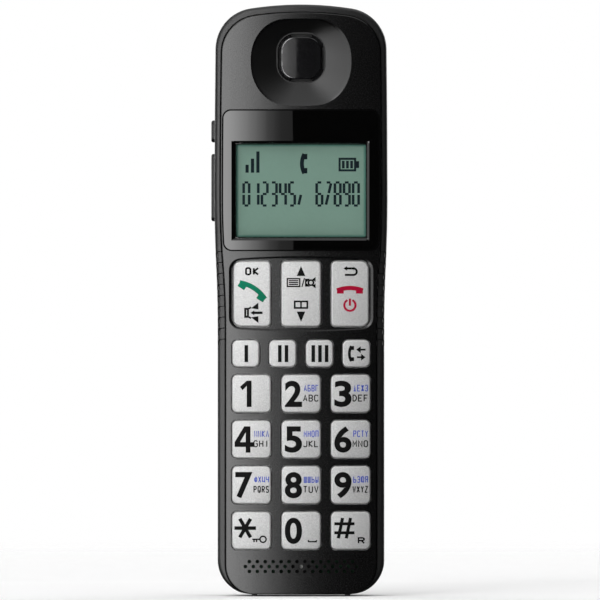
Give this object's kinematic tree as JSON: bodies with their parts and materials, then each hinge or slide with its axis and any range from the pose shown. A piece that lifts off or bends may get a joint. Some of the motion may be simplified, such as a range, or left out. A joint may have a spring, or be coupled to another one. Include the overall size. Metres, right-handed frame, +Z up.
{
  "type": "cordless phone handset",
  "caption": "Upright cordless telephone handset with large raised keys, a recessed display, an earpiece dish, side keys, a removable battery door and charging contacts.",
  "frame": {"origin": "on the standing surface, under the middle of the case", "axes": "+Z up along the handset's length, +Y from the keys to the back, +X to the user's right when facing the keys"},
  "size_m": [0.0489, 0.0264, 0.164],
  "materials": {
    "case_plastic": "satin black moulded plastic with a fine grain",
    "rim_plastic": "matt black moulded plastic, fine grain",
    "key_silver": "silver-grey satin paint with a fine metallic speckle",
    "lens_acrylic": "clear glossy acrylic",
    "lens_mask": "gloss black printed frame",
    "lcd": "grey-green reflective display",
    "insert_gloss": "polished black plastic",
    "board_green": "solder-masked circuit board",
    "chip_black": "moulded chip packages",
    "tin_plate": "tinned steel",
    "contact_nickel": "nickel-plated spring steel",
    "silicone": "translucent grey silicone",
    "carbon": "carbon-filled silicone",
    "foam": "black closed-cell foam",
    "cell_wrap": "printed sleeve over a steel can",
    "holder_white": "white moulded plastic",
    "ribbon": "amber polyimide film",
    "speaker_black": "black speaker frame and cone"
  },
  "bodies": {
    "handset": {"antenna": "contact_nickel", "battery_cell_left": "cell_wrap", "battery_cell_right": "cell_wrap", "battery_plates": "contact_nickel", "battery_springs": "contact_nickel", "board_chips": "chip_black", "carbon_pills": "carbon", "case_screws": "contact_nickel", "charge_contacts": "contact_nickel", "display_lens": "lens_acrylic", "earpiece_insert": "insert_gloss", "front_case": "case_plastic", "keypad_mat": "silicone", "lcd_backlight": "holder_white", "lcd_gasket": "foam", "lcd_glass": "lcd", "lcd_holder": "holder_white", "lcd_ribbon": "ribbon", "lens_tape": "lens_mask", "loudspeaker": "speaker_black", "loudspeaker_gasket": "foam", "main_board": "board_green", "microphone": "tin_plate", "microphone_boot": "foam", "rear_case": "rim_plastic", "receiver": "speaker_black", "receiver_gasket": "foam", "rf_shield": "tin_plate", "side_switches": "tin_plate", "volume_pin": "contact_nickel"},
    "key_0": {"key_0": "key_silver"},
    "key_1": {"key_1": "key_silver"},
    "key_2": {"key_2": "key_silver"},
    "key_3": {"key_3": "key_silver"},
    "key_4": {"key_4": "key_silver"},
    "key_5": {"key_5": "key_silver"},
    "key_6": {"key_6": "key_silver"},
    "key_7": {"key_7": "key_silver"},
    "key_8": {"key_8": "key_silver"},
    "key_9": {"key_9": "key_silver"},
    "key_end": {"key_end": "key_silver"},
    "key_hash": {"key_hash": "key_silver"},
    "key_intercom": {"key_intercom": "key_silver"},
    "key_memory_1": {"key_memory_1": "key_silver"},
    "key_memory_2": {"key_memory_2": "key_silver"},
    "key_memory_3": {"key_memory_3": "key_silver"},
    "key_navigator": {"key_navigator": "key_silver"},
    "key_star": {"key_star": "key_silver"},
    "key_talk": {"key_talk": "key_silver"},
    "side_key": {"side_key": "rim_plastic"},
    "volume_rocker": {"volume_rocker": "rim_plastic"},
    "battery_door": {"battery_cover": "rim_plastic", "battery_pad": "foam"}
  },
  "joints": [
    {"name": "press_0", "type": "slide", "parent": "handset", "child": "key_0", "axis": [0, 1, 0], "range_m": [0, 0.0007], "stiffness_N_per_m": 1500, "springref_m": -0.0002, "deforming": ["keypad_mat", "carbon_pills"]},
    {"name": "press_1", "type": "slide", "parent": "handset", "child": "key_1", "axis": [0, 1, 0], "range_m": [0, 0.0007], "stiffness_N_per_m": 1500, "springref_m": -0.0002, "deforming": ["keypad_mat", "carbon_pills"]},
    {"name": "press_2", "type": "slide", "parent": "handset", "child": "key_2", "axis": [0, 1, 0], "range_m": [0, 0.0007], "stiffness_N_per_m": 1500, "springref_m": -0.0002, "deforming": ["keypad_mat", "carbon_pills"]},
    {"name": "press_3", "type": "slide", "parent": "handset", "child": "key_3", "axis": [0, 1, 0], "range_m": [0, 0.0007], "stiffness_N_per_m": 1500, "springref_m": -0.0002, "deforming": ["keypad_mat", "carbon_pills"]},
    {"name": "press_4", "type": "slide", "parent": "handset", "child": "key_4", "axis": [0, 1, 0], "range_m": [0, 0.0007], "stiffness_N_per_m": 1500, "springref_m": -0.0002, "deforming": ["keypad_mat", "carbon_pills"]},
    {"name": "press_5", "type": "slide", "parent": "handset", "child": "key_5", "axis": [0, 1, 0], "range_m": [0, 0.0007], "stiffness_N_per_m": 1500, "springref_m": -0.0002, "deforming": ["keypad_mat", "carbon_pills"]},
    {"name": "press_6", "type": "slide", "parent": "handset", "child": "key_6", "axis": [0, 1, 0], "range_m": [0, 0.0007], "stiffness_N_per_m": 1500, "springref_m": -0.0002, "deforming": ["keypad_mat", "carbon_pills"]},
    {"name": "press_7", "type": "slide", "parent": "handset", "child": "key_7", "axis": [0, 1, 0], "range_m": [0, 0.0007], "stiffness_N_per_m": 1500, "springref_m": -0.0002, "deforming": ["keypad_mat", "carbon_pills"]},
    {"name": "press_8", "type": "slide", "parent": "handset", "child": "key_8", "axis": [0, 1, 0], "range_m": [0, 0.0007], "stiffness_N_per_m": 1500, "springref_m": -0.0002, "deforming": ["keypad_mat", "carbon_pills"]},
    {"name": "press_9", "type": "slide", "parent": "handset", "child": "key_9", "axis": [0, 1, 0], "range_m": [0, 0.0007], "stiffness_N_per_m": 1500, "springref_m": -0.0002, "deforming": ["keypad_mat", "carbon_pills"]},
    {"name": "press_end", "type": "slide", "parent": "handset", "child": "key_end", "axis": [0, 1, 0], "range_m": [0, 0.0007], "stiffness_N_per_m": 1500, "springref_m": -0.0002, "deforming": ["keypad_mat", "carbon_pills"]},
    {"name": "press_hash", "type": "slide", "parent": "handset", "child": "key_hash", "axis": [0, 1, 0], "range_m": [0, 0.0007], "stiffness_N_per_m": 1500, "springref_m": -0.0002, "deforming": ["keypad_mat", "carbon_pills"]},
    {"name": "press_intercom", "type": "slide", "parent": "handset", "child": "key_intercom", "axis": [0, 1, 0], "range_m": [0, 0.0007], "stiffness_N_per_m": 1500, "springref_m": -0.0002, "deforming": ["keypad_mat", "carbon_pills"]},
    {"name": "press_memory_1", "type": "slide", "parent": "handset", "child": "key_memory_1", "axis": [0, 1, 0], "range_m": [0, 0.0007], "stiffness_N_per_m": 1500, "springref_m": -0.0002, "deforming": ["keypad_mat", "carbon_pills"]},
    {"name": "press_memory_2", "type": "slide", "parent": "handset", "child": "key_memory_2", "axis": [0, 1, 0], "range_m": [0, 0.0007], "stiffness_N_per_m": 1500, "springref_m": -0.0002, "deforming": ["keypad_mat", "carbon_pills"]},
    {"name": "press_memory_3", "type": "slide", "parent": "handset", "child": "key_memory_3", "axis": [0, 1, 0], "range_m": [0, 0.0007], "stiffness_N_per_m": 1500, "springref_m": -0.0002, "deforming": ["keypad_mat", "carbon_pills"]},
    {"name": "navigator_rock", "type": "hinge", "parent": "handset", "child": "key_navigator", "pos_m": [0, -0.009, 0.0838], "axis": [1, 0, 0], "range_deg": [-3, 3], "stiffness_Nm_per_rad": 0.3, "deforming": ["keypad_mat", "carbon_pills"]},
    {"name": "press_star", "type": "slide", "parent": "handset", "child": "key_star", "axis": [0, 1, 0], "range_m": [0, 0.0007], "stiffness_N_per_m": 1500, "springref_m": -0.0002, "deforming": ["keypad_mat", "carbon_pills"]},
    {"name": "press_talk", "type": "slide", "parent": "handset", "child": "key_talk", "axis": [0, 1, 0], "range_m": [0, 0.0007], "stiffness_N_per_m": 1500, "springref_m": -0.0002, "deforming": ["keypad_mat", "carbon_pills"]},
    {"name": "side_key_press", "type": "slide", "parent": "handset", "child": "side_key", "axis": [1, 0, 0], "range_m": [0, 0.0005], "stiffness_N_per_m": 1500, "springref_m": -0.0002},
    {"name": "volume_rock", "type": "hinge", "parent": "handset", "child": "volume_rocker", "pos_m": [-0.0209, -0.0034, 0.1133], "axis": [0, 1, 0], "range_deg": [-2.5, 2.5], "stiffness_Nm_per_rad": 0.4},
    {"name": "battery_door_lift", "type": "slide", "parent": "handset", "child": "battery_door", "axis": [0, 1, 0], "range_m": [0, 0.03]}
  ]
}
